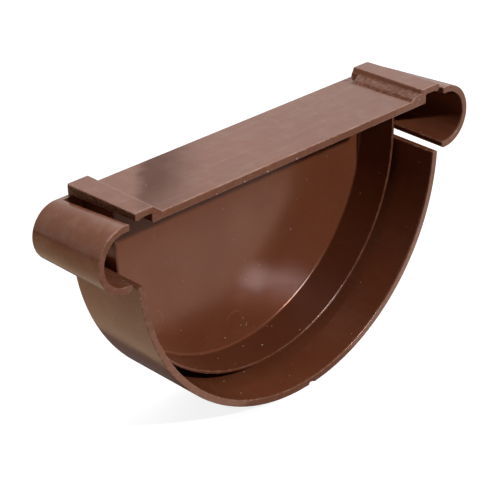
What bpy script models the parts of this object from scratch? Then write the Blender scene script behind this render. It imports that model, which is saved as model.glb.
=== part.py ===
"""End cap for a half-round rain gutter, moulded in one piece.

The mouth that takes the gutter's end faces -Y and the strap is on top, +Z. The origin is on the axis of the
half-round flange, in the flat outer face of the end wall, so the walls run from Y = 0 towards -Y.
Every wall stands on the end wall and widens towards the mouth by the draft that lets it leave its mould.
"""

import math

import bmesh
import bpy

MM = 0.001

# Outer flange, the half-round wall outside the gutter
FLANGE_RADIUS = 66.0 * MM  # outside, at the mouth
FLANGE_WALL = 2.2 * MM
DEPTH = 30.0 * MM  # mouth to outer face of the end wall
TIP_DROP = 4.5 * MM  # flange tips below the axis
END_WALL = 2.0 * MM
DRAFT = math.radians(2.3)  # of flanges and sockets, each side

# Inner flange, the short half-round wall inside the gutter
GROOVE = 1.9 * MM  # room for the gutter's wall between the flanges
GROOVE_EXTRA = 0.9 * MM  # more of it at the bottom
INNER_WALL = 1.0 * MM
INNER_LENGTH = 13.4 * MM  # from the end wall towards the mouth
ROOT_FILLET = 0.8 * MM

# Bead sockets, the half tubes that hold the gutter's rolled edges
SOCKET_RADIUS = 10.5 * MM  # outside, at the mouth
SOCKET_WALL = 2.1 * MM
SOCKET_LAND = 1.65 * MM  # straight run at each edge of the half tube
SOCKET_SLOT = 2.2 * MM  # from socket edge to tab and to flange tip
SOCKET_TIP_ROUND = 0.9 * MM  # lower edges, outside
LEFT_TIP_RISE = math.radians(0.0)  # slope of the flange tip, up from mouth to end wall
RIGHT_TIP_RISE = math.radians(3.4)

# Strap across the top, with a raised tab at each end
STRAP_THICKNESS = 2.3 * MM
STRAP_FALL = 0.2 * MM  # of its top face, mouth to back
TAB_THICKNESS = 1.95 * MM
TAB_CLEARANCE = 0.3 * MM  # tab's underside above the sockets
JOGGLE = 3.0 * MM  # from the strap's underside up to the tab's
WEB_SETBACK = 0.8 * MM  # joggle inside the inner flange
TAB_DRAFT = math.radians(1.2)
LIP_WIDTH = 2.1 * MM
LIP_DROP = 0.35 * MM
CORNER_RADIUS = 1.2 * MM  # tabs' back corners, seen from above

# Outside of the joggle: a plain ramp at the left, a ledge in two steps at the right
LEFT_RAMP = 3.9 * MM
LEFT_SKEW = 1.8 * MM  # ramp's back end nearer the middle than its front end
RIGHT_RAMP = 1.3 * MM
RIGHT_SKEW = -0.6 * MM
LEDGE_WIDTH = 3.4 * MM
LEDGE_RISER = 0.75 * MM  # foot of the ledge to its edge, both ways
LEDGE_SLOPE = 0.75 * MM  # rise across the ledge
LEDGE_STOP = 3.2 * MM  # ledge ends this far before the back
LEDGE_ROUND = 3.0 * MM

# How finely round walls are divided
FLANGE_FACES = 72
SOCKET_FACES = 24
CORNER_FACES = 4
OVERLAP = 1.0 * MM  # of joined shapes, and of cutters past a face
CLOSING_STEP = 0.5 * MM  # lower edge of the end wall above the flange tips, beside the sockets

MOUTH = -DEPTH
SEAT = -END_WALL  # inner face of the end wall
TAB_END = FLANGE_RADIUS
SOCKET_EDGE = TAB_END + SOCKET_SLOT
SOCKET_X = SOCKET_EDGE + SOCKET_LAND
SOCKET_Z = SOCKET_RADIUS - TIP_DROP
TAB_UNDERSIDE = SOCKET_Z + SOCKET_RADIUS + TAB_CLEARANCE
TAB_TOP = TAB_UNDERSIDE + TAB_THICKNESS
STRAP_UNDERSIDE = TAB_UNDERSIDE - JOGGLE
STRAP_TOP = STRAP_UNDERSIDE + STRAP_THICKNESS


def draft_at(y, angle=DRAFT):
    """How far a drafted face has moved in at depth y."""
    return (y - MOUTH) * math.tan(angle)


def inner_radius_at(y):
    """Inside radius of the inner flange, widest at its free edge."""
    edge = SEAT - INNER_LENGTH
    widest = FLANGE_RADIUS - FLANGE_WALL - draft_at(edge) - GROOVE - INNER_WALL
    return widest - draft_at(y) + draft_at(edge)


WEB_INSIDE = inner_radius_at(SEAT - INNER_LENGTH) - WEB_SETBACK


def arc(centre_x, centre_z, radius, start, end, faces):
    """Points of an arc, with its angles in degrees from +X towards +Z."""
    step = math.radians(end - start) / faces
    angles = [math.radians(start) + step * i for i in range(faces + 1)]
    return [(centre_x + radius * math.cos(a), centre_z + radius * math.sin(a)) for a in angles]


def joined(right_half, left_half):
    """A closed outline from two halves drawn alike, each from the bottom centre out to +X and to the top centre."""
    return right_half + [(-x, z) for x, z in reversed(left_half)]


def loft(name, sections):
    """A closed solid through outlines with as many points each, given as (y, outline) from the mouth backwards."""
    mesh = bmesh.new()
    rings = [[mesh.verts.new((x, y, z)) for x, z in outline] for y, outline in sections]
    mesh.faces.new(rings[0])
    mesh.faces.new(reversed(rings[-1]))
    for front, back in zip(rings, rings[1:]):
        for i in range(len(front)):
            mesh.faces.new((front[i - 1], back[i - 1], back[i], front[i]))
    bmesh.ops.recalc_face_normals(mesh, faces=mesh.faces)
    data = bpy.data.meshes.new(name)
    mesh.to_mesh(data)
    mesh.free()
    solid = bpy.data.objects.new(name, data)
    bpy.context.scene.collection.objects.link(solid)
    return solid


def combine(solid, other, operation):
    """Applies a Boolean to the solid and deletes the other shape."""
    modifier = solid.modifiers.new(operation.title(), "BOOLEAN")
    modifier.operation = operation
    modifier.solver = "EXACT"
    modifier.object = other
    bpy.context.view_layer.update()
    result = bpy.data.meshes.new_from_object(solid.evaluated_get(bpy.context.evaluated_depsgraph_get()))
    solid.modifiers.remove(modifier)
    solid.data = result
    bpy.data.objects.remove(other)


def half_silhouette(y, tip_rise):
    """Half the outline of the cap without its strap: outer flange, socket and what closes the gaps between them."""
    inset = draft_at(y)
    radius = FLANGE_RADIUS - inset
    closing_edge = CLOSING_STEP + max(inset, draft_at(y, tip_rise)) - TIP_DROP
    closing_angle = math.degrees(math.asin(closing_edge / radius))
    socket = arc(SOCKET_X, SOCKET_Z, SOCKET_RADIUS - inset, -90, 90, SOCKET_FACES)
    beside_socket = SOCKET_EDGE - SOCKET_SLOT / 4
    under_tab = TAB_END - LIP_WIDTH / 4 - draft_at(y, TAB_DRAFT)
    inside_tab = TAB_UNDERSIDE + TAB_THICKNESS / 2
    inside_strap = STRAP_UNDERSIDE + STRAP_THICKNESS / 2
    half = arc(0, 0, radius, -90, closing_angle, FLANGE_FACES // 2)
    half += [(beside_socket, closing_edge), (beside_socket, socket[0][1])]
    half += socket
    half += [(under_tab, socket[-1][1]), (under_tab, inside_tab)]
    half += [(WEB_INSIDE, inside_tab), (WEB_INSIDE - OVERLAP, inside_strap), (0, inside_strap)]
    return half


def half_hollow(y, tip_rise):
    """Half the outline of what the mould's core fills: the room inside flange and socket, and the slot between."""
    inset = draft_at(y)
    radius = FLANGE_RADIUS - FLANGE_WALL - inset
    tip = draft_at(y, tip_rise) - TIP_DROP
    tip_angle = math.degrees(math.asin(tip / radius))
    below_tip = -TIP_DROP - OVERLAP
    bottom = SOCKET_Z - SOCKET_RADIUS + inset
    rounded = arc(SOCKET_EDGE + SOCKET_TIP_ROUND, bottom + SOCKET_TIP_ROUND, SOCKET_TIP_ROUND, 245, 180, CORNER_FACES)
    slot_middle = SOCKET_EDGE - SOCKET_SLOT / 2
    socket = arc(SOCKET_X, SOCKET_Z, SOCKET_RADIUS - SOCKET_WALL - inset, -90, 90, SOCKET_FACES)
    half = arc(0, 0, radius, -90, tip_angle, FLANGE_FACES // 2)
    half += [(slot_middle, tip), (slot_middle, below_tip), (SOCKET_EDGE + SOCKET_TIP_ROUND, below_tip)]
    half += [(SOCKET_EDGE + SOCKET_TIP_ROUND, bottom - SOCKET_TIP_ROUND / 8)]
    half += rounded
    half += [(SOCKET_EDGE, socket[0][1])]
    half += socket
    half += [(SOCKET_EDGE, socket[-1][1]), (SOCKET_EDGE, TAB_TOP + OVERLAP), (0, TAB_TOP + OVERLAP)]
    return half


def silhouette(y):
    """Outline of the cap without its strap."""
    return joined(half_silhouette(y, RIGHT_TIP_RISE), half_silhouette(y, LEFT_TIP_RISE))


def hollow(y):
    """Outline of what the mould's core fills."""
    return joined(half_hollow(y, RIGHT_TIP_RISE), half_hollow(y, LEFT_TIP_RISE))


def shell():
    """End wall, outer flange and sockets."""
    body = loft("end_cap", [(MOUTH, silhouette(MOUTH)), (0, silhouette(0))])
    before = MOUTH - OVERLAP
    core = loft("core", [(before, hollow(before)), (SEAT, hollow(SEAT))])
    combine(body, core, "DIFFERENCE")
    return body


def inner_flange_outline(y, fillet=0.0):
    """Outline of the inner flange, a U whose legs end inside the tabs and run into the web of the joggle."""
    inside = inner_radius_at(y) - fillet
    outside = inner_radius_at(SEAT - INNER_LENGTH) + INNER_WALL
    top = TAB_UNDERSIDE + TAB_THICKNESS / 2
    outer = arc(0, GROOVE_EXTRA, outside, -180, 0, FLANGE_FACES)
    inner = arc(0, GROOVE_EXTRA, inside, 0, -180, FLANGE_FACES)
    in_web = WEB_INSIDE - OVERLAP
    under_web = STRAP_UNDERSIDE - 2 * WEB_SETBACK
    right = [(outside, top), (in_web, top), (in_web, STRAP_UNDERSIDE + OVERLAP), (inside, under_web)]
    return outer + right + inner + [(-x, z) for x, z in reversed(right)]


def inner_flange():
    """The short wall inside the gutter, with a fillet where it leaves the end wall."""
    edge = SEAT - INNER_LENGTH
    sections = [(edge, inner_flange_outline(edge))]
    for i in range(CORNER_FACES + 1):
        turn = math.radians(90 * i / CORNER_FACES)
        y = SEAT - ROOT_FILLET * (1 - math.sin(turn))
        sections.append((y, inner_flange_outline(y, ROOT_FILLET * (1 - math.cos(turn)))))
    root = SEAT + END_WALL / 2
    sections.append((root, inner_flange_outline(root, ROOT_FILLET)))
    return loft("inner_flange", sections)


def strap_outline(y, ledge, corner):
    """Section of the strap: ledge is the share of the ledge's width left here, corner how far its ends are rounded off."""
    end = TAB_END - draft_at(y, TAB_DRAFT) - corner
    top = STRAP_TOP - STRAP_FALL * (y - MOUTH) / DEPTH
    lip = TAB_UNDERSIDE - LIP_DROP
    rise = TAB_TOP - top
    middle = WEB_INSIDE - STRAP_THICKNESS
    left = middle - LEFT_RAMP / 2 - LEFT_SKEW * (y - MOUTH) / DEPTH
    right = middle - RIGHT_RAMP / 2 - RIGHT_SKEW * (y - MOUTH) / DEPTH
    shelf = right + RIGHT_RAMP * LEDGE_RISER / rise
    riser = min(LEDGE_RISER, rise / 3)
    slope = min(LEDGE_SLOPE, rise / 3)
    back_of_ledge = (right + RIGHT_RAMP * (riser + slope) / rise, top + riser + slope)
    edge_of_ledge = (shelf - LEDGE_WIDTH * ledge, top + riser + slope * (1 - ledge) / 2)
    foot_of_ledge = (right - (LEDGE_WIDTH + LEDGE_RISER) * ledge, top)
    under = [(WEB_INSIDE, STRAP_UNDERSIDE), (WEB_INSIDE, TAB_UNDERSIDE)]
    under += [(end - LIP_WIDTH, TAB_UNDERSIDE), (end - LIP_WIDTH, lip), (end, lip), (end, TAB_TOP)]
    over = [(right + RIGHT_RAMP, TAB_TOP), back_of_ledge, edge_of_ledge, foot_of_ledge]
    over += [(-left, top), (-left - LEFT_RAMP, TAB_TOP)]
    return under + over + [(-x, z) for x, z in reversed(under)]


def strap():
    """The strap and its tabs, lofted along Y, with the ledge and the tabs' corners rounded off towards the back."""
    sections = [(MOUTH, strap_outline(MOUTH, 1, 0))]
    for i in range(CORNER_FACES + 1):
        turn = math.radians(90 * i / CORNER_FACES)
        y = -LEDGE_STOP - LEDGE_ROUND * (1 - math.sin(turn))
        sections.append((y, strap_outline(y, math.cos(turn), 0)))
    for i in range(CORNER_FACES + 1):
        turn = math.radians(90 * i / CORNER_FACES)
        y = -CORNER_RADIUS * (1 - math.sin(turn))
        sections.append((y, strap_outline(y, 0, CORNER_RADIUS * (1 - math.cos(turn)))))
    return loft("strap", sections)


def brown_plastic():
    """Rigid brown gutter plastic with a satin gloss."""
    material = bpy.data.materials.new("brown_plastic")
    material.use_nodes = True
    shader = material.node_tree.nodes["Principled BSDF"]
    shader.inputs["Base Color"].default_value = (0.150, 0.058, 0.036, 1)
    shader.inputs["Roughness"].default_value = 0.38
    shader.inputs["Metallic"].default_value = 0.0
    return material


def main():
    for old in list(bpy.data.objects):
        bpy.data.objects.remove(old)
    cap = shell()
    combine(cap, inner_flange(), "UNION")
    combine(cap, strap(), "UNION")
    cap.data.materials.clear()
    cap.data.materials.append(brown_plastic())
    cap.data.shade_smooth()
    cap.data.set_sharp_from_angle(angle=math.radians(30))


main()
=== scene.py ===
"""Looks of a moulded gutter end cap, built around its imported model, with its stage, lamps and camera."""

import math

import bpy
import numpy as np
from bpy.props import FloatProperty, FloatVectorProperty, PointerProperty
from mathutils import Matrix, Vector


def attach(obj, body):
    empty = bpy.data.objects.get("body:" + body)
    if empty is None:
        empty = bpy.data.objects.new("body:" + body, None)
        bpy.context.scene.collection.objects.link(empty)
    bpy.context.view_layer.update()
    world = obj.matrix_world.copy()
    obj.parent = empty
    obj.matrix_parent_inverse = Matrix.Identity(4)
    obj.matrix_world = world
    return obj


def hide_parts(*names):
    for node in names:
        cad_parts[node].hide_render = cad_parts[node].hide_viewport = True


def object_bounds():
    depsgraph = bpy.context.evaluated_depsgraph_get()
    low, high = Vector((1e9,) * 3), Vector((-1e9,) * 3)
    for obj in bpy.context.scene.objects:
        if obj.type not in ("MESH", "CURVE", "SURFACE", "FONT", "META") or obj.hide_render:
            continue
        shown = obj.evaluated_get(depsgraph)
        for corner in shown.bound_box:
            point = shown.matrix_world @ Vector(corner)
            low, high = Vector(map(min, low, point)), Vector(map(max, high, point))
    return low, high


bl_info = {
    "name": "Gutter End Cap",
    "version": (1, 0, 0),
    "blender": (4, 5, 0),
    "location": "3D View > Sidebar > End Cap",
    "description": "Builds a moulded half-round gutter end cap with its stage",
    "category": "Object",
}

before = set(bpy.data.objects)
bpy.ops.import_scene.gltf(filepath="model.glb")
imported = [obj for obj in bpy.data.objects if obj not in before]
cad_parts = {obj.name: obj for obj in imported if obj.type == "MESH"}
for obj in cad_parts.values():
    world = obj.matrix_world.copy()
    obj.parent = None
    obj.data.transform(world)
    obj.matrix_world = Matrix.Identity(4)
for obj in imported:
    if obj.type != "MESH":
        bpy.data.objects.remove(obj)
CAD_BOX = [list(corner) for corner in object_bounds()]

MM = 0.001
TINY = 1e-12  # keeps a division by a vanishing size safe
ARC_FACES = 160  # around the half-round walls
SOCKET_FACES = 56  # around a socket
ROUND_FACES = 5  # around small rounded edges
CUT_ANGLE = 62.0  # a cutter's rounding stops here and runs straight on, so that it crosses the face it meets
SHARP_ANGLE = math.radians(40)  # faces that meet at more than this keep a sharp edge
FACE_WEIGHT = 60  # how far large faces decide the shading of the small ones beside them
ROUNDED = (0.8, 2.0)  # curvature per millimetre at which a face starts to count as a rounded edge, and counts fully
SPECK_SHAPE = (1.0, 0.8, 0.15)  # a speck's radii as shares of its size, its height last


def mm(*values):
    """Millimetres as metres."""
    return [value * MM for value in values]


def colour(name, description, value):
    """A colour property."""
    return FloatVectorProperty(
        name=name, description=description, default=value, size=3, min=0.0, max=1.0, subtype="COLOR"
    )


def level(name, description, value, **more):
    """A property for a plain number that isn't negative."""
    return FloatProperty(name=name, description=description, default=value, min=0.0, **more)


def length(name, description, millimetres):
    """A length property with its default given in millimetres."""
    return level(name, description, millimetres * MM, unit="LENGTH", subtype="DISTANCE")


class CapSizes(bpy.types.PropertyGroup):
    """Sizes of the moulding."""

    flange_radius: length("Flange radius", "Outside radius of the outer flange at the mouth", 66.0)
    flange_wall: length("Flange wall", "Thickness of the outer flange", 2.2)
    depth: length("Depth", "From the mouth to the outer face of the end wall", 30.0)
    tip_drop: length("Tip drop", "Flange tips below the axis at the mouth", 4.5)
    end_wall: length("End wall", "Thickness of the end wall", 2.0)
    groove: length("Groove", "Room for the gutter between the flanges", 1.9)
    groove_extra: length("Groove extra", "More of that room at the bottom", 0.9)
    inner_wall: length("Inner wall", "Thickness of the inner flange", 1.0)
    inner_length: length("Inner length", "Reach of the inner flange from the end wall", 13.4)
    root_fillet: length("Root fillet", "Where the inner flange leaves the end wall", 0.8)
    socket_radius: length("Socket radius", "Outside radius of the bead sockets at the mouth", 10.5)
    socket_wall: length("Socket wall", "Thickness of the bead sockets", 2.1)
    socket_land: length("Socket land", "Straight run at each edge of a socket", 1.65)
    socket_slot: length("Socket slot", "From a socket's edge to the tab and the flange tip", 2.2)
    strap_thickness: length("Strap thickness", "Thickness of the strap across the top", 2.3)
    tab_thickness: length("Tab thickness", "Thickness of the raised tabs", 1.95)
    tab_clearance: length("Tab clearance", "Tabs above the sockets", 0.3)
    joggle: length("Joggle", "Step from the strap's underside to the tabs'", 3.0)
    rim_round: length("Rim rounding", "Radius on the edges at the mouth", 0.25)
    back_round: length("Back rounding", "Radius on the outer edge of the end wall", 0.4)
    tip_round: length("Tip rounding", "Radius on the long edges of flange tips and sockets", 0.5)


class CapFinish(bpy.types.PropertyGroup):
    """Colours and gloss of the plastic."""

    brown: colour("Brown", "Main colour of the plastic", (0.180, 0.052, 0.022))
    deep_brown: colour("Deep brown", "Darker patches in the plastic", (0.160, 0.045, 0.019))
    # This colour also gives the painted highlights on edges and the painted light on the faces at the mouth
    worn_and_lit: colour("Worn", "Rubbed edges and scratches", (0.42, 0.25, 0.19))
    # This colour also gives a painted sheen on the faces on top
    haze_and_sheen: colour("Haze and sheen", "Faint bloom on the skin", (0.40, 0.31, 0.24))
    # This colour gives the painted shadow band on the strap, the darker ledge and the painted shade on the inner flange
    shade_and_stain: colour("Shade and stain", "Painted shadow band, darker ledge and painted shade inside the flange", (0.085, 0.024, 0.010))
    # This colour darkens the cut ends of the tabs to near black, uneven with grit
    cut_end_dark: colour("Cut end dark", "On the cut ends of the tabs", (0.035, 0.016, 0.008))
    dust: colour("Dust", "Specks on the surface", (0.68, 0.56, 0.50))
    gloss: colour("Gloss", "Tint of what the skin mirrors", (1.0, 0.50, 0.32))
    roughness: level("Roughness", "Of the moulded skin", 0.20, max=1.0)


class StageSettings(bpy.types.PropertyGroup):
    """Floor, lamps and camera."""

    floor: colour("Floor", "Colour of the floor as the cap sees it", (0.20, 0.20, 0.20))
    key: level("Key", "Power of the key lamp", 15.0, unit="POWER")
    glint: level("Glint", "Power of the lamp seen only as a reflection", 42.0, unit="POWER")
    card: level("Card", "Brightness of the cards on the floor", 1.0)
    sweep: level("Sweep", "Brightness of the white sweep behind", 1.15)
    room: level("Room", "Brightness of the room on the camera's side", 0.0)
    azimuth: FloatProperty(name="Azimuth", description="Camera's direction from the front", default=-45.1356)
    elevation: FloatProperty(name="Elevation", description="Camera's angle above the floor", default=26.2496)
    roll: FloatProperty(name="Roll", description="Camera's turn about its line of sight", default=-1.1634)
    distance: length("Distance", "Camera to its aim", 630.3142)
    lens: level("Lens", "Focal length for a sensor 36 mm wide", 146.878)


# Nicks in the rim of the outer flange: centre, then radii around the rim, along Y and outwards, in millimetres
NICKS = (
    (5.8, -30.1, -65.6, 1.5, 1.1, 1.1),
    (2.6, -30.1, -66.0, 0.6, 0.35, 0.5),
    (33.5, -30.1, -56.9, 0.7, 0.3, 0.35),
    (-41.0, -30.1, -51.8, 0.6, 0.3, 0.3),
)

# Specks stuck to the skin: place and direction outwards, then radius, in millimetres
SPECKS = (
    (-34.1, -29.99, 14.15, 0, -1, 0, 0.26),
    (-22.6, -29.99, 14.15, 0, -1, 0, 0.34),
    (-12.9, -29.99, 14.15, 0, -1, 0, 0.34),
    (-0.4, -29.99, 14.15, 0, -1, 0, 0.36),
    (19.2, -29.86, 15.85, 0, -0.7, 0.7, 0.22),
    (23.5, -29.86, 15.85, 0, -0.7, 0.7, 0.18),
    (56.2, -29.99, 16.13, 0, -1, 0, 0.30),
    (-46.4, -13.3, 15.97, 0, 0, 1, 0.22),
    (-45.8, -16.0, 15.98, 0, 0, 1, 0.20),
    (-50.0, -15.5, 15.98, 0, 0, 1, 0.18),
    (2.7, -10.9, -57.7, 0, 0, 1, 0.34),
    (-15.3, -9.1, -55.8, 0.25, 0, 0.97, 0.20),
    (12.4, -6.0, -56.5, -0.2, 0, 0.97, 0.20),
    (13.3, -19.5, -62.3, -0.2, 0, 0.97, 0.22),
    (7.3, -19.9, -63.0, -0.1, 0, 0.99, 0.22),
    (24.8, -22.0, -58.8, -0.4, 0, 0.92, 0.22),
    (-7.6, -12.8, -62.6, 0.1, 0, 0.99, 0.24),
    (-18.9, -15.1, -60.3, 0.3, 0, 0.95, 0.24),
    (-22.4, -11.6, -59.1, 0.4, 0, 0.92, 0.20),
    (-21.0, -24.7, -59.9, 0.3, 0, 0.95, 0.22),
    (-5.1, -2.03, -55.3, 0, -1, 0, 0.20),
    (2.2, -2.03, -53.5, 0, -1, 0, 0.20),
    (4.5, -2.03, -54.4, 0, -1, 0, 0.20),
    (-32.0, -2.03, -53.3, 0, -1, 0, 0.24),
)

# Faint rings on the end wall: X and Z of the centre and radius in millimetres, then their strongest side in degrees
PIN_MARKS = (
    (-0.7, -50.7, 3.4, 90),
    (-36.0, -37.7, 4.2, -10),
)


# Outlines


def arc(centre_x, centre_z, radius, start, end, faces):
    """Points on a circle at even angles from start to end, in degrees from +X towards +Z."""
    angles = np.radians(np.linspace(start, end, faces + 1))
    return np.stack([centre_x + radius * np.cos(angles), centre_z + radius * np.sin(angles)], axis=1)


def filleted(corners, radii):
    """A closed outline with its corners rounded.

    The arc at a corner has its centre on the bisector of the two sides, radius / sin(half the angle) from the
    corner, and touches both sides radius / tan(half the angle) from it. A corner of no radius keeps one point.
    """
    corners = np.asarray(corners, float)
    radii = np.asarray(radii, float)
    sides = [np.roll(corners, shift, axis=0) - corners for shift in (1, -1)]
    last, after = [side / np.linalg.norm(side, axis=1, keepdims=True) for side in sides]
    half = 0.5 * np.arccos(np.clip(np.sum(last * after, axis=1), -1.0, 1.0))
    bisector = last + after
    bisector = bisector / np.maximum(np.linalg.norm(bisector, axis=1, keepdims=True), TINY)
    centres = corners + bisector * (radii / np.sin(half))[:, None]
    reach = (radii / np.tan(half))[:, None]
    first = corners + last * reach - centres
    final = corners + after * reach - centres
    start = np.arctan2(first[:, 1], first[:, 0])
    sweep = (np.arctan2(final[:, 1], final[:, 0]) - start + np.pi) % (2 * np.pi) - np.pi
    angles = start[:, None] + sweep[:, None] * np.linspace(0.0, 1.0, ROUND_FACES + 1)
    arcs = centres[:, None, :] + radii[:, None, None] * np.stack([np.cos(angles), np.sin(angles)], axis=2)
    kept = np.repeat(radii[:, None] > 0, ROUND_FACES + 1, axis=1)
    kept[:, 0] = True
    return arcs[kept]


def moved_in(outline, distance):
    """An anticlockwise outline moved in along its mitred normals, which are (n1 + n2) / (1 + n1 . n2)."""
    along = np.roll(outline, -1, axis=0) - outline
    normal = np.stack([along[:, 1], -along[:, 0]], axis=1) / np.linalg.norm(along, axis=1, keepdims=True)
    before = np.roll(normal, 1, axis=0)
    mitre = (normal + before) / (1.0 + np.sum(normal * before, axis=1, keepdims=True))
    return outline - mitre * distance


def joined(right_half, left_half):
    """A closed outline from two halves drawn alike, each from the bottom centre out to +X and up to the top."""
    return np.vstack([right_half, (left_half[1:] * [-1.0, 1.0])[::-1]])


def quarter(end=90.0):
    """Sine and cosine of even angles along a rounded edge, from 0 to end in degrees."""
    turns = np.radians(np.linspace(0.0, end, ROUND_FACES + 1))
    return np.sin(turns), np.cos(turns)


# Solids


def new_solid(name, points, faces):
    """An object with a mesh of these points and faces."""
    mesh = bpy.data.meshes.new(name)
    mesh.from_pydata(points, [], faces)
    solid = bpy.data.objects.new(name, mesh)
    bpy.context.scene.collection.objects.link(solid)
    return solid


def loft(name, depths, outlines):
    """A closed skin through outlines of as many points each, one at each depth along Y, mouth first.

    Point j of outline i lies at (x, depth i, z). A face joins points j and j + 1 of outlines i and i + 1, and
    the first and last outline close the ends.
    """
    outlines = np.asarray(outlines)
    rings, points = outlines.shape[:2]
    depths = np.broadcast_to(np.asarray(depths)[:, None], (rings, points))
    places = np.stack([outlines[..., 0], depths, outlines[..., 1]], axis=2).reshape(-1, 3)
    ring = np.arange(rings - 1)[:, None] * points
    here = np.arange(points)[None, :]
    there = (here + 1) % points
    quads = np.stack([ring + there, ring + here, ring + points + here, ring + points + there], axis=2)
    front = np.arange(points)
    back = front[::-1] + points * (rings - 1)
    return new_solid(name, places, quads.reshape(-1, 4).tolist() + [front.tolist(), back.tolist()])


def finished_mesh(piece):
    """The piece's mesh with its modifiers applied."""
    bpy.context.view_layer.update()
    mesh = bpy.data.meshes.new_from_object(piece.evaluated_get(bpy.context.evaluated_depsgraph_get()))
    piece.modifiers.clear()
    piece.data = mesh
    return mesh


def combine(solid, other, operation):
    """Applies a Boolean to the solid and removes the other shape."""
    modifier = solid.modifiers.new(operation.title(), "BOOLEAN")
    modifier.operation = operation
    modifier.solver = "EXACT"
    modifier.object = other
    finished_mesh(solid)
    bpy.data.objects.remove(other)


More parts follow.
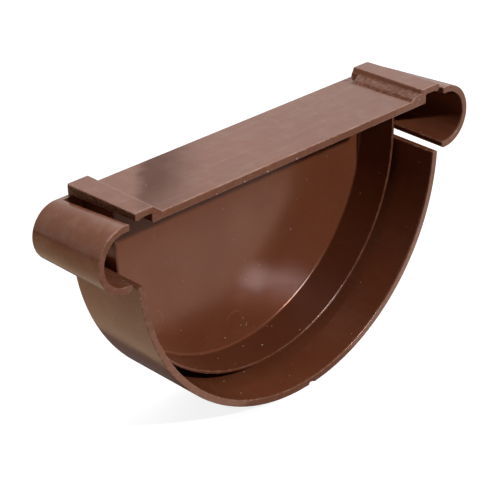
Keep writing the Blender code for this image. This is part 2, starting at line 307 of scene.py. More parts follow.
class CapShape:
    """Outlines of the moulding at each depth, worked out from the sizes. Each half is drawn towards +X."""

    draft = math.radians(2.3)
    tab_draft = math.radians(1.2)
    strap_fall = 0.2 * MM  # of the strap's top, over the depth
    lip_width = 2.1 * MM
    lip_drop = 0.35 * MM
    left_lip_fall = 0.9 * MM  # more drop of the left lip, over the depth
    corner_radius = 1.2 * MM
    web_setback = 0.8 * MM
    left_ramp = 3.5 * MM
    left_skew = 1.8 * MM  # how far the ramp slides, over the depth
    right_ramp = 1.3 * MM
    right_skew = -0.6 * MM
    ledge_width = 3.4 * MM
    ledge_riser = 0.75 * MM
    ledge_slope = 0.75 * MM
    ledge_stop = 3.2 * MM  # the ledge ends this far from the back
    ledge_round = 3.0 * MM  # and rounds off over this depth
    ledge_edge_round = 0.25 * MM
    least_round = 0.05 * MM
    tab_round = 0.45 * MM
    web_round = 0.3 * MM
    ramp_round = 0.4 * MM
    left_ramp_head_round = 1.2 * MM
    socket_tip_round = 0.9 * MM
    inner_rim_round = 0.32 * MM
    core_fillet = 0.3 * MM
    core_lead = 0.05 * MM  # the core starts this far outside the mouth
    right_tip_rise = math.radians(3.4)
    overlap = 1.0 * MM  # of shapes that are joined
    closing_step = 0.5 * MM  # the skin closes the slot this far above the flange's tip
    run_on = 0.3 * MM  # the core's roundings run on sideways by this

    def __init__(self, sizes):
        self.s = sizes
        self.mouth = -sizes.depth
        self.seat = -sizes.end_wall
        self.socket_edge = sizes.flange_radius + sizes.socket_slot
        self.socket_x = self.socket_edge + sizes.socket_land
        self.socket_z = sizes.socket_radius - sizes.tip_drop
        self.tab_underside = self.socket_z + sizes.socket_radius + sizes.tab_clearance
        self.tab_top = self.tab_underside + sizes.tab_thickness
        self.strap_underside = self.tab_underside - sizes.joggle
        self.strap_top = self.strap_underside + sizes.strap_thickness
        self.inner_edge = self.seat - sizes.inner_length
        self.web_inside = self.inner_radius(self.inner_edge) - self.web_setback

    def inset(self, y, angle=None):
        """How far a drafted face has moved in at depth y: the way from the mouth times the tangent of the angle."""
        return (y - self.mouth) * math.tan(self.draft if angle is None else angle)

    def inner_radius(self, y):
        """Inside radius of the inner flange: the outer one's inside less the groove and the wall, less the draft."""
        widest = self.s.flange_radius - self.s.flange_wall - self.inset(self.inner_edge) - self.s.groove
        return widest - self.s.inner_wall - self.inset(y) + self.inset(self.inner_edge)

    def half_silhouette(self, y, rise):
        """Half the outline of the cap without its strap.

        The flange's arc runs from the bottom to just above its tip. From there the outline closes the slot, follows
        the socket's arc and goes over its top to the web under the strap.
        """
        s, inset = self.s, self.inset(y)
        radius = s.flange_radius - inset
        closing_edge = self.closing_step + max(inset, self.inset(y, rise)) - s.tip_drop
        closing_angle = math.degrees(math.asin(closing_edge / radius))
        socket = arc(self.socket_x, self.socket_z, s.socket_radius - inset, -90, 90, SOCKET_FACES)
        beside_socket = self.socket_edge - s.socket_slot / 4
        under_tab = s.flange_radius - self.lip_width / 4 - self.inset(y, self.tab_draft)
        inside_tab = self.tab_underside + s.tab_thickness / 2
        inside_strap = self.strap_underside + s.strap_thickness / 2
        return np.vstack([
            arc(0, 0, radius, -90, closing_angle, ARC_FACES // 2),
            [(beside_socket, closing_edge), (beside_socket, socket[0, 1])],
            socket,
            [(under_tab, socket[-1, 1]), (under_tab, inside_tab), (self.web_inside, inside_tab)],
            [(self.web_inside - self.overlap, inside_strap)],
        ])

    def half_hollow(self, y, rise):
        """Half the outline of what the mould's core fills.

        The arc inside the flange runs to a rounded tip, whose centre lies r below the tip and r outwards from the
        arc, at x = sqrt((radius + r)^2 - (tip - r)^2). Then come the slot, the socket's edge and bore, and the slot
        above it.
        """
        s, inset = self.s, self.inset(y)
        r, big = s.tip_round, self.socket_tip_round
        inside = s.flange_radius - s.flange_wall - inset
        tip = self.inset(y, rise) - s.tip_drop
        inner_x = math.sqrt((inside + r) ** 2 - (tip - r) ** 2)
        outer_x = math.sqrt((s.flange_radius - inset - r) ** 2 - (tip - r) ** 2)
        tip_angle = math.degrees(math.atan2(tip - r, inner_x))
        bottom = self.socket_z - s.socket_radius + inset
        top = self.socket_z + s.socket_radius - inset
        edge = self.socket_edge
        bore = s.socket_radius - s.socket_wall - inset
        slope = math.tan(math.radians(CUT_ANGLE))
        over_tip = arc(outer_x, tip - r, r, 90, 90 - CUT_ANGLE, ROUND_FACES)
        under_socket = arc(edge + big, bottom + big, big, 180 + CUT_ANGLE, 180, ROUND_FACES)
        over_socket = arc(edge + r, top - r, r, 180, 180 - CUT_ANGLE, ROUND_FACES)
        run = self.run_on
        return np.vstack([
            arc(0, 0, inside, -90, tip_angle, ARC_FACES // 2),
            arc(inner_x, tip - r, r, 180 + tip_angle, 90, ROUND_FACES)[1:],
            over_tip,
            [over_tip[-1] + [run, -run * slope], (edge - s.socket_slot / 4, -s.tip_drop - 2 * self.overlap)],
            [under_socket[0] + [run * slope, -run]],
            under_socket,
            arc(edge + r, self.socket_z - bore - r, r, 180, 90, ROUND_FACES),
            arc(self.socket_x, self.socket_z, bore, -90, 90, SOCKET_FACES),
            arc(edge + r, self.socket_z + bore + r, r, 270, 180, ROUND_FACES),
            over_socket,
            [over_socket[-1] + [run * slope, run], (edge + 2 * r, self.tab_top + self.overlap)],
        ])

    def silhouette(self, y, inwards):
        """The outline of the cap without its strap, moved in."""
        outline = joined(self.half_silhouette(y, self.right_tip_rise), self.half_silhouette(y, 0.0))
        return moved_in(outline, inwards)

    def hollow(self, y, inwards):
        """The outline of what the mould's core fills, moved in."""
        outline = joined(self.half_hollow(y, self.right_tip_rise), self.half_hollow(y, 0.0))
        return moved_in(outline, inwards)


def shell(shape):
    """End wall, outer flange and sockets: the outer skin less the core.

    At a depth of r (1 - cos t) from either end the skin lies r (1 - sin t) further in, with t from 0 to 90 degrees.
    At a depth of r (1 - sin t) from the mouth the core lies r (1 - cos t) further out, and it runs straight on past
    the mouth. At its foot it moves in by f (1 - cos t), which leaves a fillet of radius f.
    """
    s = shape.s
    rim, back, fillet, lead = s.rim_round, s.back_round, shape.core_fillet, shape.core_lead
    sine, cosine = quarter()
    ys = [*(shape.mouth + rim * (1 - cosine)), *(-back * (1 - cosine))[::-1]]
    moves = [*(rim * (1 - sine)), *(back * (1 - sine))[::-1]]
    body = loft("end_cap_body", ys, [shape.silhouette(y, move) for y, move in zip(ys, moves)])
    foot_ys, foot_moves = shape.seat - fillet * (1 - sine), fillet * (1 - cosine)
    sine, cosine = quarter(CUT_ANGLE)
    run = (lead + rim * (1 - sine[-1])) / cosine[-1]
    ys = [shape.mouth - lead, *(shape.mouth + rim * (1 - sine))[::-1], *foot_ys]
    moves = [-rim * (1 - cosine[-1]) - run * sine[-1], *(-rim * (1 - cosine))[::-1], *foot_moves]
    core = loft("core", ys, [shape.hollow(y, move) for y, move in zip(ys, moves)])
    combine(body, core, "DIFFERENCE")
    return body


def inner_flange(shape):
    """The short wall inside the gutter, rounded at its free edge, with a fillet where it leaves the end wall.

    Its outline is two half circles about a centre groove_extra above the axis, with legs that run up into the tabs
    and the web. It moves in by r (1 - sin t) at the free edge. Towards the root it grows by f (1 - cos t) inwards
    and by half as much outwards.
    """
    s = shape.s
    outside = shape.inner_radius(shape.inner_edge) + s.inner_wall
    top = shape.tab_underside + s.tab_thickness / 2
    in_web = shape.web_inside - shape.overlap

    def outline(y, inside_fillet, outside_fillet, inwards):
        inside = shape.inner_radius(y) - inside_fillet
        outer = arc(0, s.groove_extra, outside + outside_fillet, -180, 0, ARC_FACES)
        inner = arc(0, s.groove_extra, inside, 0, -180, ARC_FACES)
        right = np.array([
            (outside + outside_fillet, top),
            (in_web, top),
            (in_web, shape.strap_underside + shape.overlap),
            (inside, shape.strap_underside - 2 * shape.web_setback),
        ])
        return moved_in(np.vstack([outer, right, inner, (right * [-1, 1])[::-1]]), inwards)

    rim = shape.inner_rim_round
    sine, cosine = quarter()
    rim_ys = shape.inner_edge + rim * (1 - cosine)
    rings = [outline(y, 0, 0, move) for y, move in zip(rim_ys, rim * (1 - sine))]
    root_ys = [*(shape.seat - s.root_fillet * (1 - sine)), shape.seat + s.end_wall / 2]
    growth = [*(s.root_fillet * (1 - cosine)), s.root_fillet]
    rings += [outline(y, more, more / 2, 0) for y, more in zip(root_ys, growth)]
    return loft("inner_flange", [*rim_ys, *root_ys], rings)


def ellipsoids(name, places, normals, radii):
    """Closed ellipsoids in one mesh, each with its shortest axis along its normal.

    With u across and v along the meridians, a point lies at place + radius * (sin v cos u A + sin v sin u B)
    + height * cos v N, where A and B are square to the normal N. The poles are single points.
    """
    places, normals, radii = (np.asarray(values, float) for values in (places, normals, radii))
    normals = normals / np.linalg.norm(normals, axis=1, keepdims=True)
    first = np.cross(normals, np.where(np.abs(normals[:, 1:2]) > 0.9, [[0.0, 0.0, 1.0]], [[0.0, 1.0, 0.0]]))
    first = first / np.linalg.norm(first, axis=1, keepdims=True)
    second = np.cross(normals, first)
    around, along = 12, 7
    u = np.linspace(0.0, 2 * np.pi, around, endpoint=False)
    v = np.linspace(0.0, np.pi, along + 1)[1:-1]
    rings = [np.outer(np.sin(v), np.cos(u)), np.outer(np.sin(v), np.sin(u)), np.outer(np.cos(v), np.ones(around))]
    unit = np.vstack([np.stack(rings).reshape(3, -1).T, [(0, 0, 1), (0, 0, -1)]])
    axes = np.stack([first * radii[:, 0:1], second * radii[:, 1:2], normals * radii[:, 2:3]], axis=1)
    points = places[:, None, :] + np.einsum("pk,nkc->npc", unit, axes)
    row = np.arange(along - 2)[:, None] * around
    here = np.arange(around)[None, :]
    there = (here + 1) % around
    quads = np.stack([row + here, row + around + here, row + around + there, row + there], axis=2).reshape(-1, 4)
    top, bottom, last = (along - 1) * around, (along - 1) * around + 1, (along - 2) * around
    caps = np.vstack([
        np.stack([np.full(around, top), here[0], there[0]], axis=1),
        np.stack([np.full(around, bottom), last + there[0], last + here[0]], axis=1),
    ])
    shift = (np.arange(len(places)) * len(unit))[:, None, None]
    faces = (quads[None] + shift).reshape(-1, 4).tolist() + (caps[None] + shift).reshape(-1, 3).tolist()
    return new_solid(name, points.reshape(-1, 3), faces)


def strap(shape):
    """The strap and its tabs, with soft ramps, a ledge that ends before the back and rounded corners.

    A filleted outline is carried along the depth. Its ends move in with the draft and its ramps slide by their skew
    times the share of the depth. The ledge shrinks with cos t while the depth runs with sin t. At the back the ends
    follow a quarter circle, and the outline moves in by b (1 - sqrt(1 - u^2)), with u from 0 to 1 over the depth b.
    """
    s = shape.s

    def outline(y, ledge, corner, inwards):
        share = (y - shape.mouth) / s.depth
        end = s.flange_radius - shape.inset(y, shape.tab_draft) - corner
        top = shape.strap_top - shape.strap_fall * share
        rise = shape.tab_top - top
        middle = shape.web_inside - s.strap_thickness
        left = middle - shape.left_ramp / 2 - shape.left_skew * share
        right = middle - shape.right_ramp / 2 - shape.right_skew * share
        riser, slope = shape.ledge_riser, shape.ledge_slope
        shelf = right + shape.right_ramp * riser / rise
        web = shape.web_inside
        lip_foot = end - shape.lip_width
        under = [(web, shape.strap_underside), (web, shape.tab_underside), (lip_foot, shape.tab_underside)]

        def lip(drop):
            low = shape.tab_underside - drop
            return [(lip_foot + drop, low), (end, low), (end, shape.tab_top)]

        over = [
            (right + shape.right_ramp, shape.tab_top),
            (right + shape.right_ramp * (riser + slope) / rise, top + riser + slope),
            (shelf - shape.ledge_width * ledge, top + riser + slope * (1 - ledge) / 2),
            (right - (shape.ledge_width + riser) * ledge, top),
            (-left, top),
            (-left - shape.left_ramp, shape.tab_top),
        ]
        left_end = under + lip(shape.lip_drop + shape.left_lip_fall * share)
        corners = under + lip(shape.lip_drop) + over + [(-x, z) for x, z in reversed(left_end)]
        small = shape.ledge_edge_round * ledge + shape.least_round
        end_radii = [shape.tab_round, shape.web_round, 0, 0, shape.tab_round, shape.tab_round]
        over_radii = [shape.ramp_round, small, small, small, shape.ramp_round, shape.left_ramp_head_round]
        return moved_in(filleted(corners, end_radii + over_radii + end_radii[::-1]), inwards)

    rim, back = s.rim_round, s.back_round
    sine, cosine = quarter()
    rim_ys = shape.mouth + rim * (1 - cosine)
    rings = [outline(y, 1, 0, move) for y, move in zip(rim_ys, rim * (1 - sine))]
    ledge_ys = -shape.ledge_stop - shape.ledge_round * (1 - sine)
    rings += [outline(y, ledge, 0, 0) for y, ledge in zip(ledge_ys, cosine)]
    turns = np.linspace(0.0, 1.0, 2 * ROUND_FACES + 1) * np.pi / 2
    back_ys = -shape.corner_radius * (1 - np.sin(turns))
    corners = shape.corner_radius * (1 - np.cos(turns))
    edge = np.clip((back_ys + back) / back, 0.0, 1.0)
    moves = back * (1 - np.sqrt(1 - edge**2))
    rings += [outline(y, 0, corner, move) for y, corner, move in zip(back_ys, corners, moves)]
    return loft("strap", [*rim_ys, *ledge_ys, *back_ys], rings)


# Plastic


class Nodes:
    """Adds shader nodes and links them in one call each."""

    def __init__(self, owner):
        owner.use_nodes = True
        self.tree = owner.node_tree
        self.shader = self.tree.nodes.get("Principled BSDF") or self.tree.nodes["Background"]

    def add(self, kind, settings=None, **sockets):
        """A node with its settings and its inputs, by name or as in0, in1, linked or set."""
        node = self.tree.nodes.new(kind)
        for key, value in (settings or {}).items():
            setattr(node, key, value)
        for key, value in sockets.items():
            numbered = key[:2] == "in" and key[2:].isdigit()
            self.feed(node.inputs[int(key[2:]) if numbered else key.replace("_", " ")], value)
        return node

    def feed(self, socket, value):
        """Links an output to a socket, or sets the socket to a plain value."""
        if isinstance(value, bpy.types.NodeSocket):
            self.tree.links.new(value, socket)
        else:
            socket.default_value = value

    def math(self, operation, a, b=0.0):
        """A sum or other operation on one or two values."""
        return self.add("ShaderNodeMath", {"operation": operation}, in0=a, in1=b).outputs[0]

    def product(self, first, *others):
        """All the factors multiplied."""
        for factor in others:
            first = self.math("MULTIPLY", first, factor)
        return first

    def distance(self, a, b):
        """The square root of a squared plus b squared."""
        return self.math("SQRT", self.math("ADD", self.math("POWER", a, 2.0), self.math("POWER", b, 2.0)))

    def ramp(self, value, low, high, to_low=0.0, to_high=1.0):
        """Value from low to high mapped smoothly to to_low to to_high."""
        limits = {"in1": low, "in2": high, "in3": to_low, "in4": to_high}
        return self.add("ShaderNodeMapRange", {"interpolation_type": "SMOOTHSTEP"}, in0=value, **limits).outputs[0]

    def window(self, value, rise, fall):
        """One between a smooth rise and a smooth fall, each given by its two ends."""
        return self.product(self.ramp(value, *rise), self.ramp(value, *fall, to_low=1.0, to_high=0.0))

    def noise(self, where, scale, detail=2.0, roughness=0.5):
        """Cloudy noise about 0.5."""
        node = self.add("ShaderNodeTexNoise", Vector=where, Scale=scale, Detail=detail, Roughness=roughness)
        return node.outputs[0]

    def stretched(self, where, scale):
        """A place scaled along each axis, which draws a pattern out along the axis scaled least."""
        return self.add("ShaderNodeMapping", Vector=where, Scale=scale).outputs[0]

    def dots(self, where, scale, share, radius):
        """Round dots in the cells of a Voronoi pattern whose random value is above share."""
        cells = self.add("ShaderNodeTexVoronoi", {"feature": "F1"}, Vector=where, Scale=scale)
        pick = self.add("ShaderNodeSeparateColor", Color=cells.outputs["Color"]).outputs[0]
        dot = self.ramp(cells.outputs["Distance"], radius, radius * 1.8, to_low=1.0, to_high=0.0)
        return self.product(self.ramp(pick, share, share + 0.01), dot)

    def bump(self, pattern, height, strength, **below):
        """The normal below, or the mesh's own, tilted by a pattern of a height."""
        node = self.add("ShaderNodeBump", Height=pattern, Distance=height, Strength=strength, **below)
        return node.outputs[0]

    def mix(self, factor, a, b):
        """Colour a, and colour b where the factor is one."""
        return self.add("ShaderNodeMix", {"data_type": "RGBA"}, in0=factor, in6=a, in7=b).outputs[2]


def opaque(colour_value):
    """A colour with full alpha."""
    return (*colour_value, 1.0)


class PlasticNodes(Nodes):
    """Masks of the marks on the moulding, from 0 to 1, each told from the place on the object."""

    def __init__(self, material):
        super().__init__(material)
        self.where = self.add("ShaderNodeTexCoord").outputs["Object"]
        self.place = self.add("ShaderNodeSeparateXYZ", Vector=self.where).outputs
        normal = self.add("ShaderNodeNewGeometry").outputs["Normal"]
        self.facing = self.add("ShaderNodeSeparateXYZ", Vector=normal).outputs
        self.top_side = self.product(self.ramp(self.place["Z"], *mm(13.0, 14.5)), self.ramp(self.facing["Z"], 0.1, 0.6))
        self.aside = self.math("ABSOLUTE", self.place["X"])

    def bloom(self):
        """A mottled bloom, stronger at the left end, and stronger on top, where it is a painted sheen."""
        mottled = self.ramp(self.noise(self.where, scale=130.0, detail=6.0, roughness=0.74), 0.40, 0.70)
        # Painted sheen: the faces on top get four times the bloom of the others
        sheen_on_top = self.ramp(self.top_side, 0.0, 1.0, to_low=0.2, to_high=0.8)
        at_left = self.ramp(self.place["X"], *mm(-60.0, -64.0), to_high=0.7)
        return self.product(mottled, self.math("ADD", sheen_on_top, at_left))

    def brushed_lines(self):
        """Fine lines along the top of the strap, between its tabs."""
        lines = self.noise(self.stretched(self.where, (40.0, 800.0, 40.0)), scale=1.0, detail=3.0, roughness=0.65)
        between_tabs = self.ramp(self.aside, *mm(57.0, 60.0), to_low=1.0, to_high=0.0)
        return self.product(self.ramp(lines, 0.50, 0.76), self.top_side, between_tabs)

    def flow_streaks_and_sheen(self):
        """Lighter streaks along the depth, everywhere but on top: flow marks, partly a painted sheen."""
        streaks = self.noise(self.stretched(self.where, (900.0, 40.0, 900.0)), scale=1.0, detail=3.0, roughness=0.6)
        return self.product(self.ramp(streaks, 0.52, 0.78), self.math("SUBTRACT", 1.0, self.top_side))

    def painted_shadow_band(self):
        """A painted shadow: a dark band across the left of the strap, fainter at the mouth.

        It lies where -0.733 X + 0.68 Y, moved by a noise of up to 3.5 mm either way, is between two distances.
        """
        noise = self.noise(self.where, scale=160.0, detail=4.0, roughness=0.65)
        wander = self.product(self.math("SUBTRACT", noise, 0.5), 7.0 * MM)
        across = self.math("ADD", self.product(self.place["X"], -0.733), self.product(self.place["Y"], 0.68))
        band = self.window(self.math("ADD", across, wander), mm(5.0, 22.0), mm(24.5, 29.2))
        return self.product(band, self.top_side, self.ramp(self.place["Y"], *mm(-34.0, -14.0), to_low=0.35))

    def darker_ledge(self):
        """A grainy darker patch on the ledge beside the right tab."""
        on_ledge = self.window(self.place["X"], mm(51.6, 52.8), mm(57.2, 58.0))
        grainy = self.ramp(self.noise(self.where, scale=800.0, detail=4.0, roughness=0.7), 0.36, 0.64)
        return self.product(on_ledge, self.top_side, grainy)

    def painted_shade_in_flange(self):
        """Painted shade on the inner flange inside the cap, told from the distance to the axis."""
        round_axis = self.window(self.distance(self.place["X"], self.place["Z"]), mm(57.5, 59.0), mm(61.6, 62.0))
        along = self.window(self.place["Y"], mm(-16.4, -15.7), mm(-3.2, -2.2))
        below_strap = self.ramp(self.place["Z"], *mm(12.5, 13.5), to_low=1.0, to_high=0.0)
        return self.product(round_axis, along, below_strap)

    def ring(self, x, z, radius, strongest):
        """Part of a thin ring on the end wall, in metres, strongest on one side, given in degrees.

        The ring lies where the distance to its centre is near the radius. The side is the place from the centre
        along the strongest direction, as a share of the radius.
        """
        across = self.math("SUBTRACT", self.place["X"], x)
        up = self.math("SUBTRACT", self.place["Z"], z)
        off = self.math("ABSOLUTE", self.math("SUBTRACT", self.distance(across, up), radius))
        turn = math.radians(strongest)
        cosine, sine = math.cos(turn) / radius, math.sin(turn) / radius
        side = self.math("ADD", self.product(across, cosine), self.product(up, sine))
        line = self.ramp(off, *mm(0.08, 0.24), to_low=1.0, to_high=0.0)
        return self.product(line, self.ramp(side, -0.1, 0.6), self.ramp(self.place["Y"], *mm(-2.6, -2.3)))

    def pin_marks(self):
        """Broken rings left on the end wall by the pins that pushed the moulding out."""
        first, second = (self.ring(*mm(x, z, radius), strongest) for x, z, radius, strongest in PIN_MARKS)
        broken = self.ramp(self.noise(self.where, scale=350.0), 0.35, 0.6, to_low=0.2)
        return self.product(self.math("MAXIMUM", first, second), broken)

    def wear_and_highlight(self):
        """Lighter places, partly rubbed wear and partly painted highlight: the rounded edges, the rim at the mouth and,
        most of all, the strap's front.
        """
        edge = self.add("ShaderNodeAttribute", {"attribute_name": "edge"}).outputs["Fac"]
        rubbing = self.ramp(self.noise(self.where, scale=500.0, detail=3.0, roughness=0.6), 0.42, 0.62)
        near_mouth = self.ramp(self.place["Y"], *mm(-24.0, -18.0), to_low=1.0, to_high=0.45)
        # Rounded edges lightened, partly as wear and partly as a painted highlight
        edges = self.product(edge, self.math("ADD", self.product(rubbing, 0.4), 0.1), near_mouth)
        # Painted light: every face at the mouth is lifted, more towards the right
        front = self.ramp(self.place["Y"], *mm(-29.0, -29.7))
        at_right = self.ramp(self.place["X"], *mm(30.0, 55.0), to_high=0.22)
        rim = self.product(front, self.math("ADD", self.ramp(rubbing, 0.0, 1.0, to_low=0.13, to_high=0.20), at_right))
        # Scuffs on the strap's front, partly a painted highlight along its edge
        scuffs_and_highlight = self.ramp(self.noise(self.where, scale=70.0, detail=4.0, roughness=0.7), 0.40, 0.62, 0.1, 0.6)
        strap_front = self.product(front, self.top_side, scuffs_and_highlight)
        return self.math("MAXIMUM", self.math("MAXIMUM", edges, rim), strap_front)

    def tab_ends(self):
        """The cut ends of the tabs, uneven, and the pale grains in them."""
        ends = self.product(
            self.ramp(self.aside, *mm(64.6, 65.2)),
            self.ramp(self.place["Z"], *mm(16.0, 16.6)),
            self.ramp(self.math("ABSOLUTE", self.facing["X"]), 0.5, 0.9),
        )
        grains = self.product(self.dots(self.where, scale=1100.0, share=0.70, radius=0.18), ends)
        grit = self.noise(self.where, scale=1500.0, detail=3.0, roughness=0.7)
        return self.product(ends, self.ramp(grit, 0.35, 0.6, to_low=0.9, to_high=0.35)), grains

    def specks(self):
        """Dots in two sizes, few of them on top."""
        large = self.dots(self.where, scale=230.0, share=0.93, radius=0.05)
        small = self.dots(self.where, scale=620.0, share=0.95, radius=0.10)
        few_on_top = self.ramp(self.top_side, 0.0, 1.0, to_low=0.6, to_high=0.1)
        return self.product(self.math("MAXIMUM", large, small), few_on_top)


def brown_plastic(finish):
    """Brown moulded plastic: two browns in patches under bloom, streaks, painted shade and highlight, dark patches,
    wear and specks.

    Each layer mixes its colour in by its mask times its strength. Wear, specks and cut ends are rougher, the dull
    places mirror less, and waves, grain and specks tilt the normal.
    """
    material = bpy.data.materials.new("brown_plastic")
    n = PlasticNodes(material)
    band, ledge_dark, worn_and_lit, specks = n.painted_shadow_band(), n.darker_ledge(), n.wear_and_highlight(), n.specks()
    ends, grains = n.tab_ends()
    layers = (
        # bloom, with a painted sheen on top
        (n.bloom(), 0.15, finish.haze_and_sheen),
        (n.brushed_lines(), 0.10, finish.haze_and_sheen),
        # flow marks, partly a painted sheen
        (n.flow_streaks_and_sheen(), 0.05, finish.worn_and_lit),
        # painted shadow band on the strap
        (band, 0.80, finish.shade_and_stain),
        (ledge_dark, 0.70, finish.shade_and_stain),
        # painted shade on the inner flange
        (n.painted_shade_in_flange(), 0.55, finish.shade_and_stain),
        (n.pin_marks(), 0.22, finish.worn_and_lit),
        # wear, partly painted highlight, and painted light at the mouth
        (worn_and_lit, 1.0, finish.worn_and_lit),
        (ends, 1.0, finish.cut_end_dark),
        (grains, 0.45, finish.worn_and_lit),
        (specks, 0.50, finish.dust),
    )
    patches = n.ramp(n.noise(n.where, scale=34.0, detail=3.0, roughness=0.55), 0.36, 0.66)
    surface = n.mix(patches, opaque(finish.brown), opaque(finish.deep_brown))
    for mask, strength, tint in layers:
        surface = n.mix(n.product(mask, strength), surface, opaque(tint))
    n.feed(n.shader.inputs["Base Color"], surface)

    smoother, rougher = finish.roughness - 0.03, finish.roughness + 0.05
    rough = n.ramp(n.noise(n.where, scale=60.0, detail=3.0), 0.3, 0.7, smoother, rougher)
    rough = n.math("ADD", rough, n.product(worn_and_lit, 0.15))
    rough = n.math("ADD", rough, n.product(n.math("MAXIMUM", specks, ends), 0.35))
    n.feed(n.shader.inputs["Roughness"], rough)
    # Lower IOR on the painted shadow band stands in for a dark reflection; the darker ledge and the cut ends mirror
    # less too
    dull = n.math("MAXIMUM", n.product(n.math("MAXIMUM", band, ledge_dark), 0.9), ends)
    n.feed(n.shader.inputs["IOR"], n.math("SUBTRACT", 1.5, n.product(dull, 0.35)))
    n.feed(n.shader.inputs["Specular IOR Level"], 0.6)
    n.feed(n.shader.inputs["Specular Tint"], opaque(finish.gloss))

    waves = n.bump(n.noise(n.where, scale=45.0), height=0.08 * MM, strength=1.0)
    fine = n.noise(n.where, scale=2600.0, detail=3.0, roughness=0.6)
    grain = n.bump(fine, height=0.012 * MM, strength=0.6, Normal=waves)
    n.feed(n.shader.inputs["Normal"], n.bump(specks, height=0.08 * MM, strength=0.8, Normal=grain))
    return material


def pale_dust(finish):
    """Matt pale dust for the specks, a little uneven in colour."""
    material = bpy.data.materials.new("pale_dust")
    n = Nodes(material)
    where = n.add("ShaderNodeTexCoord").outputs["Object"]
    tint = n.mix(n.noise(where, scale=300.0), opaque(finish.dust), opaque(finish.worn_and_lit))
    n.feed(n.shader.inputs["Base Color"], tint)
    n.feed(n.shader.inputs["Roughness"], 0.7)
    return material


def read(items, key, width=1, kind=float):
    """A value, or a row of them, for each item of a mesh, as one array."""
    found = np.empty(len(items) * width, kind)
    items.foreach_get(key, found)
    return found.reshape(-1, width) if width > 1 else found


def mark_edges(mesh):
    """Stores on each face how far it belongs to a small rounded edge, from 0 to 1.

    A face's curvature is the sum over its sides of half the turn to the next face times the side's length,
    divided by the face's area. The turn is the angle between the two normals, counted where the next face's
    centre lies behind this one's plane and the edge isn't sharp. Curvature over ROUNDED is mapped to 0 to 1.
    """
    normals, centres = read(mesh.polygons, "normal", 3), read(mesh.polygons, "center", 3)
    counts, areas = read(mesh.polygons, "loop_total", kind=int), read(mesh.polygons, "area")
    places, edges = read(mesh.vertices, "co", 3), read(mesh.loops, "edge_index", kind=int)
    ends = read(mesh.edges, "vertices", 2, int)
    lengths = np.linalg.norm(places[ends[:, 1]] - places[ends[:, 0]], axis=1)[edges]
    owners = np.repeat(np.arange(len(areas)), counts)
    pairs = np.argsort(edges, kind="stable").reshape(-1, 2)
    one, two = owners[pairs[:, 0]], owners[pairs[:, 1]]
    turn = np.arccos(np.clip(np.sum(normals[one] * normals[two], axis=1), -1.0, 1.0))
    turn[np.sum(normals[one] * (centres[two] - centres[one]), axis=1) > 0] = 0.0
    turn[turn > SHARP_ANGLE] = 0.0
    turns = np.zeros(len(edges))
    turns[pairs] = turn[:, None]
    bend = np.bincount(owners, 0.5 * turns * lengths, len(areas)) / np.maximum(areas, TINY)
    edge = np.clip((bend * MM - ROUNDED[0]) / (ROUNDED[1] - ROUNDED[0]), 0.0, 1.0)
    mesh.attributes.new("edge", "FLOAT", "FACE").data.foreach_set("value", edge.astype(np.float32))


class CAP_OT_body(bpy.types.Operator):
    """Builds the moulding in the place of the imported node"""

    bl_idname = "cap.body"
    bl_label = "Moulded Body"

    def execute(self, context):
        shape = CapShape(context.scene.cap_sizes)
        body = shell(shape)
        combine(body, inner_flange(shape), "UNION")
        combine(body, strap(shape), "UNION")
        nicks = np.array(NICKS) * MM
        combine(body, ellipsoids("nicks", nicks[:, :3], nicks[:, :3] * [1, 0, 1], nicks[:, 3:]), "DIFFERENCE")
        mesh = body.data
        mesh.shade_smooth()
        mesh.set_sharp_from_angle(angle=SHARP_ANGLE)
        weights = body.modifiers.new("Normals", "WEIGHTED_NORMAL")
        weights.keep_sharp = True
        weights.weight = FACE_WEIGHT
        mesh = finished_mesh(body)
        mark_edges(mesh)
        mesh.materials.clear()
        mesh.materials.append(brown_plastic(context.scene.cap_finish))
        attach(body, "root")
        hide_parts("end_cap")
        return {"FINISHED"}


class CAP_OT_specks(bpy.types.Operator):
    """Adds the pale specks that stick to the skin"""

    bl_idname = "cap.specks"
    bl_label = "Specks"

    def execute(self, context):
        table = np.array(SPECKS)
        radii = table[:, 6:] * SPECK_SHAPE * MM
        specks = ellipsoids("end_cap_specks", table[:, :3] * MM, table[:, 3:6], radii)
        specks.data.shade_smooth()
        specks.data.materials.append(pale_dust(context.scene.cap_finish))
        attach(specks, "root")
        return {"FINISHED"}


# Stage

CAMERA_AIM = (-6.0055, -15.0, -19.157)  # in millimetres
SENSOR_WIDTH = 36.0
LAMP_DISTANCE = 1.5
COLD = (0.36, 0.64, 1.0)
WARM = (1.0, 0.80, 0.50)
FLOOR_REACH = 4.0
SEEN_FLOOR = (0.32, 0.32, 0.32)  # the floor's colour for the camera, under a white glow that lifts it to the backdrop
SEEN_GLOW = 0.85
BEHIND = (0.45, 0.80, 0.38)  # towards the middle of the white sweep
SWEEP_EDGE = (-0.1, 0.45)  # where the sweep starts and where it is full, as a dot product with that direction
LEFT_SHARE = 0.52  # the left card's brightness as a share of the right one's


def view_axes(azimuth, elevation, roll):
    """Direction from the aim to the camera, and the camera's right and up.

    The direction is (sin a cos e, -cos a cos e, sin e). Right and up are square to it, turned about it by the roll.
    """
    a, e, r = (math.radians(v) for v in (azimuth, elevation, roll))
    towards = Vector((math.sin(a) * math.cos(e), -math.cos(a) * math.cos(e), math.sin(e)))
    right = (-towards).cross(Vector((0, 0, 1))).normalized()
    up = right.cross(-towards)
    turned_right = math.cos(r) * right + math.sin(r) * up
    turned_up = math.cos(r) * up - math.sin(r) * right
    return towards, turned_right, turned_up


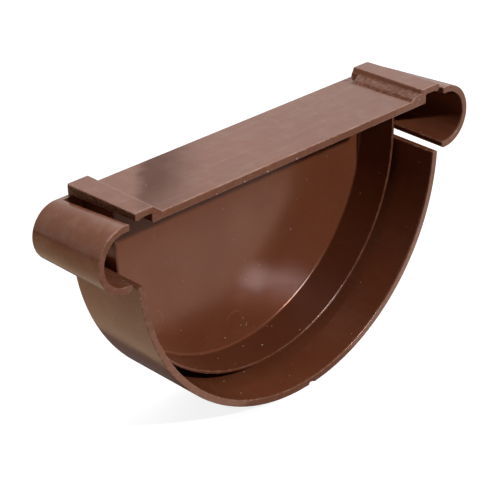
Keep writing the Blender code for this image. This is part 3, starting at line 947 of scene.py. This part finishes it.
def add_camera(settings):
    """The camera at the photograph's place."""
    towards, right, up = view_axes(settings.azimuth, settings.elevation, settings.roll)
    data = bpy.data.cameras.new("camera")
    data.lens = settings.lens
    data.sensor_width = SENSOR_WIDTH
    data.clip_start = 0.01
    camera = bpy.data.objects.new("camera", data)
    place = Matrix((right, up, towards)).transposed().to_4x4()
    place.translation = Vector(CAMERA_AIM) * MM + towards * settings.distance
    camera.matrix_world = place
    bpy.context.scene.collection.objects.link(camera)
    bpy.context.scene.camera = camera


def add_lamp(name, place, size, power, tint=(1.0, 1.0, 1.0)):
    """A rectangular lamp at a place, in metres, that faces the cap."""
    data = bpy.data.lights.new(name, "AREA")
    data.shape = "RECTANGLE"
    data.size, data.size_y = size
    data.energy = power
    data.color = tint
    lamp = bpy.data.objects.new(name, data)
    lamp.location = place
    lamp.rotation_euler = (-Vector(place)).to_track_quat("-Z", "Y").to_euler()
    lamp.visible_camera = False
    bpy.context.scene.collection.objects.link(lamp)
    return lamp


def add_card(name, place, size, brightness, tint=(1.0, 1.0, 1.0)):
    """A bright card just above the floor that faces up. A lamp is as bright as its power / (pi * its area)."""
    low = CAD_BOX[0][2] + 2 * MM
    card = add_lamp(name, (*place, low), size, math.pi * size[0] * size[1] * brightness, tint)
    card.rotation_euler = (math.pi, 0.0, 0.0)
    return card


def in_front(elevation, aside):
    """A lamp's place: d (cos e) in front of the cap and d (sin e) above it, e in degrees, moved aside along X."""
    turn = math.radians(elevation)
    return (aside, -LAMP_DISTANCE * math.cos(turn), LAMP_DISTANCE * math.sin(turn))


def add_floor(settings, height):
    """A wide floor at the cap's lowest point, white with the cap's shadow for the camera and grey for the cap."""
    corners = np.array([(-1, -1), (1, -1), (1, 1), (-1, 1)]) * FLOOR_REACH
    floor = new_solid("floor", np.column_stack([corners, np.full(4, height)]), [(0, 1, 2, 3)])
    material = bpy.data.materials.new("floor")
    n = Nodes(material)
    n.tree.nodes.remove(n.shader)
    plain = n.add("ShaderNodeBsdfDiffuse", Color=opaque(settings.floor))
    pale = n.add("ShaderNodeBsdfDiffuse", Color=opaque(SEEN_FLOOR))
    glow = n.add("ShaderNodeEmission", Color=(1, 1, 1, 1), Strength=SEEN_GLOW)
    white = n.add("ShaderNodeAddShader", in0=pale.outputs[0], in1=glow.outputs[0])
    seen = n.add("ShaderNodeLightPath").outputs["Is Camera Ray"]
    shown = n.add("ShaderNodeMixShader", in0=seen, in1=plain.outputs[0], in2=white.outputs[0])
    n.tree.links.new(shown.outputs[0], n.tree.nodes["Material Output"].inputs["Surface"])
    floor.data.materials.append(material)


def add_world(settings):
    """A white sweep behind the cap that fades to a dark room in front, white all round for the camera.

    The strength rises smoothly with the dot product of a ray's direction and BEHIND.
    """
    world = bpy.data.worlds.new("surroundings")
    bpy.context.scene.world = world
    n = Nodes(world)
    where = n.add("ShaderNodeTexCoord").outputs["Generated"]
    behind = n.add("ShaderNodeVectorMath", {"operation": "DOT_PRODUCT"}, in0=where, in1=BEHIND)
    strength = n.ramp(behind.outputs["Value"], *SWEEP_EDGE, settings.room, settings.sweep)
    seen = n.add("ShaderNodeLightPath").outputs["Is Camera Ray"]
    strength = n.math("MAXIMUM", strength, seen)
    n.feed(n.shader.inputs["Strength"], strength)
    n.feed(n.shader.inputs["Color"], (1, 1, 1, 1))


class CAP_OT_stage(bpy.types.Operator):
    """Sets up the floor, the lamps, the surroundings and the camera"""

    bl_idname = "cap.stage"
    bl_label = "Stage"

    def execute(self, context):
        settings = context.scene.cap_stage
        context.scene.view_settings.view_transform = "Standard"
        add_camera(settings)
        add_floor(settings, CAD_BOX[0][2])
        add_world(settings)
        add_lamp("key", in_front(elevation=34.4, aside=0.28), size=(0.05, 0.05), power=settings.key)
        glint = add_lamp(
            "glint", in_front(elevation=42.5, aside=-0.04), size=(0.28, 0.12), power=settings.glint, tint=COLD
        )
        left = LEFT_SHARE * settings.card
        add_card("left_card", place=(-0.30, 0.235), size=(0.50, 0.55), brightness=left, tint=WARM)
        right_card = add_card("right_card", place=(0.06, -0.062), size=(0.20, 0.055), brightness=settings.card)
        for reflected_only in (glint, right_card):
            reflected_only.visible_diffuse = False
        return {"FINISHED"}


class CAP_PT_panel(bpy.types.Panel):
    """Steps and settings of the end cap"""

    bl_idname = "CAP_PT_panel"
    bl_label = "End Cap"
    bl_space_type = "VIEW_3D"
    bl_region_type = "UI"
    bl_category = "End Cap"

    def draw(self, context):
        layout = self.layout
        for operator in OPERATORS:
            layout.operator(operator.bl_idname)
        for group in (context.scene.cap_sizes, context.scene.cap_finish, context.scene.cap_stage):
            box = layout.box()
            for key in group.__annotations__:
                box.prop(group, key)


OPERATORS = (CAP_OT_body, CAP_OT_specks, CAP_OT_stage)
GROUPS = {"cap_sizes": CapSizes, "cap_finish": CapFinish, "cap_stage": StageSettings}


def register():
    for cls in (*GROUPS.values(), *OPERATORS, CAP_PT_panel):
        bpy.utils.register_class(cls)
    for name, group in GROUPS.items():
        setattr(bpy.types.Scene, name, PointerProperty(type=group))


def unregister():
    for name in GROUPS:
        delattr(bpy.types.Scene, name)
    for cls in (CAP_PT_panel, *reversed(OPERATORS), *GROUPS.values()):
        bpy.utils.unregister_class(cls)


def main():
    """Makes the pieces and the stage."""
    register()
    bpy.ops.cap.body()
    bpy.ops.cap.specks()
    bpy.ops.cap.stage()


if __name__ == "__main__":
    main()
